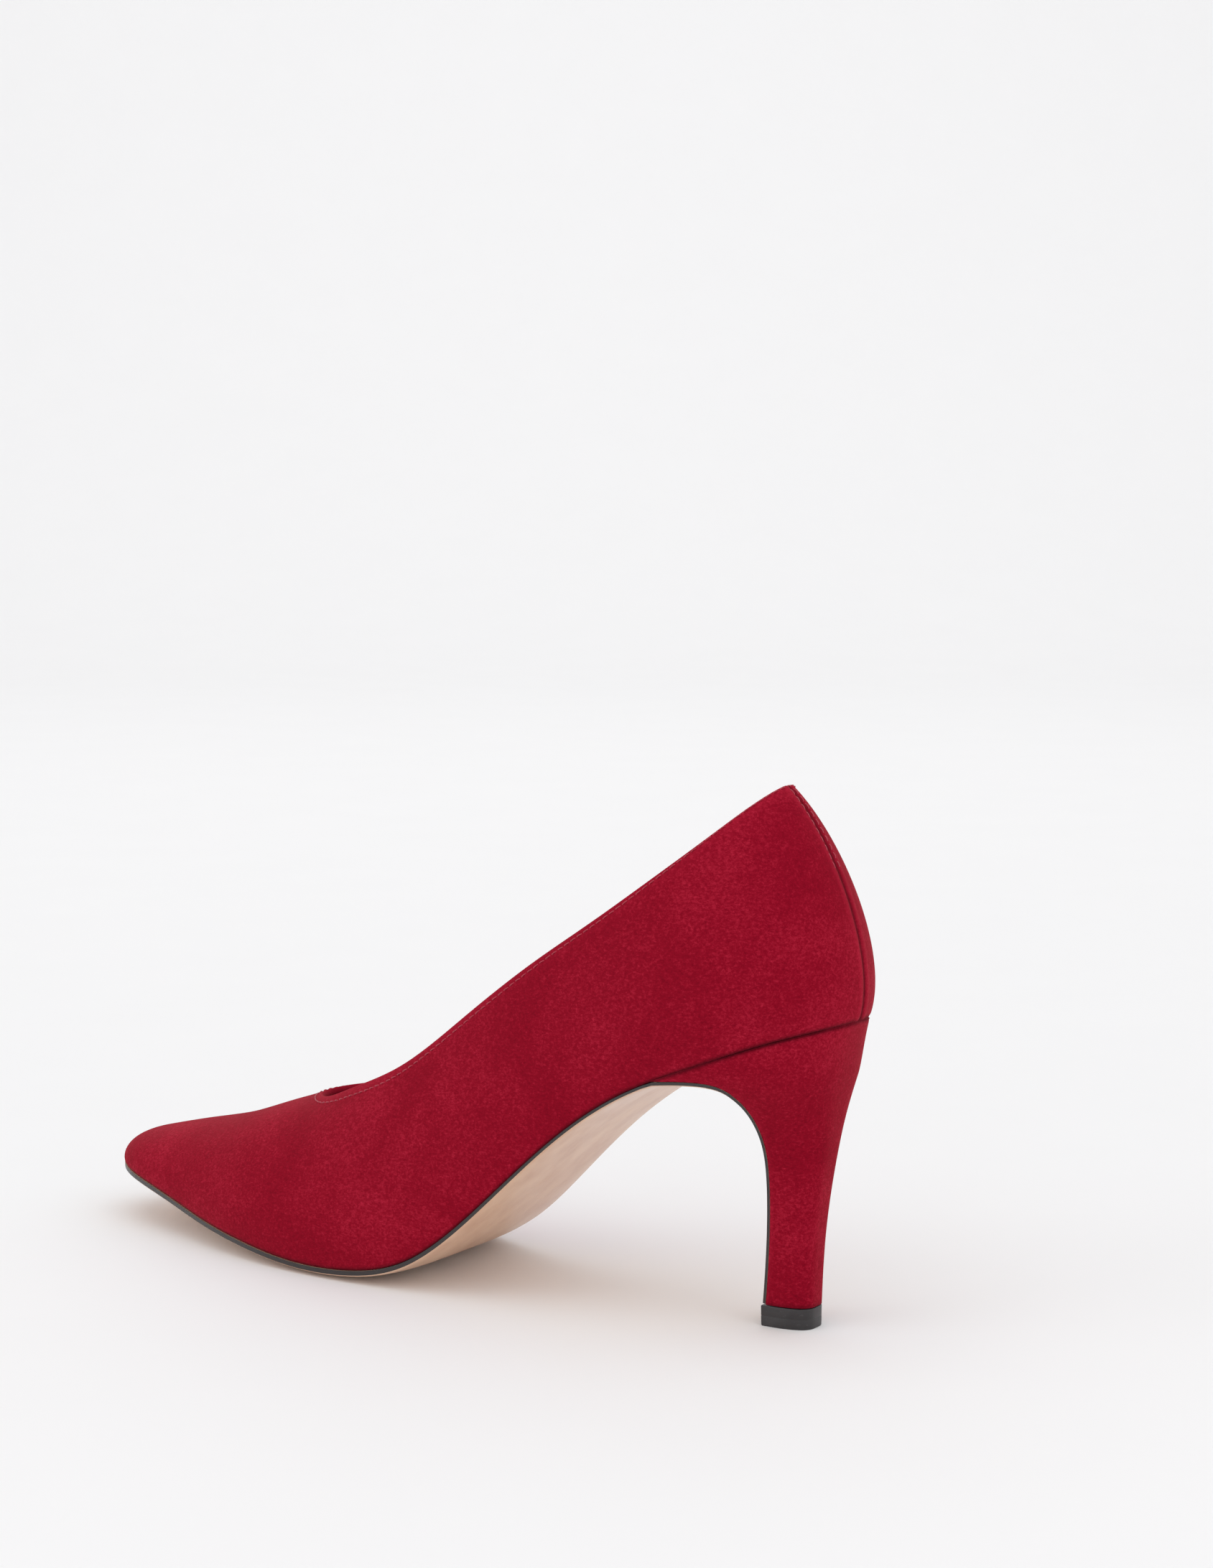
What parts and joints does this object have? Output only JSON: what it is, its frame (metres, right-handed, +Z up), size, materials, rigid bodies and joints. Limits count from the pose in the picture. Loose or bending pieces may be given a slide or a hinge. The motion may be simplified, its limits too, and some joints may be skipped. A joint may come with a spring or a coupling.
{
  "type": "high heel pump",
  "caption": "Pointed high heel pump for the left foot: suede upper cut low round the foot, slim covered heel, leather sole with a black edge and a small top piece.",
  "frame": {"origin": "middle of the shoe's footprint, on the ground it stands on", "axes": "+X from the heel to the toe tip, +Y to the outer side of the foot, +Z up"},
  "size_m": [0.2494, 0.0762, 0.139],
  "materials": {
    "suede": "dark red suede with a fine matt nap",
    "lining": "smooth dark red lining leather",
    "sock": "smooth dark red sock leather",
    "stiffener": "resin-stiffened fleece",
    "tape": "woven nylon tape",
    "insole_board": "pressed cellulose board",
    "filler": "bonded felt",
    "cushion": "open foam",
    "sole_leather": "polished nude sole leather with a black painted edge",
    "heel_plastic": "moulded, matt",
    "top_piece": "black, satin",
    "shank_steel": "tempered strip, oiled",
    "tube_steel": "drawn tube and pin",
    "fastener_steel": "bright nails, screw and rivets"
  },
  "bodies": {
    "root": {"suede_upper": "suede", "vamp_lining": "lining", "quarter_lining": "lining", "toe_puff": "stiffener", "heel_counter": "stiffener", "topline_tape": "tape", "back_seam_tape": "tape", "insole_shank_board": "insole_board", "insole_forepart": "insole_board", "steel_shank": "shank_steel", "bottom_filler": "filler", "heel_cushion": "cushion", "forefoot_cushion": "cushion", "sock_lining": "sock", "outsole": "sole_leather", "heel_block": "heel_plastic", "heel_cover": "suede", "heel_dowel_tube": "tube_steel", "top_piece": "top_piece", "top_piece_pin": "tube_steel", "heel_screw": "fastener_steel", "heel_nail_1": "fastener_steel", "heel_nail_2": "fastener_steel", "heel_nail_3": "fastener_steel", "heel_nail_4": "fastener_steel", "heel_nail_5": "fastener_steel", "shank_rivet_rear": "fastener_steel", "shank_rivet_front": "fastener_steel"}
  },
  "joints": []
}
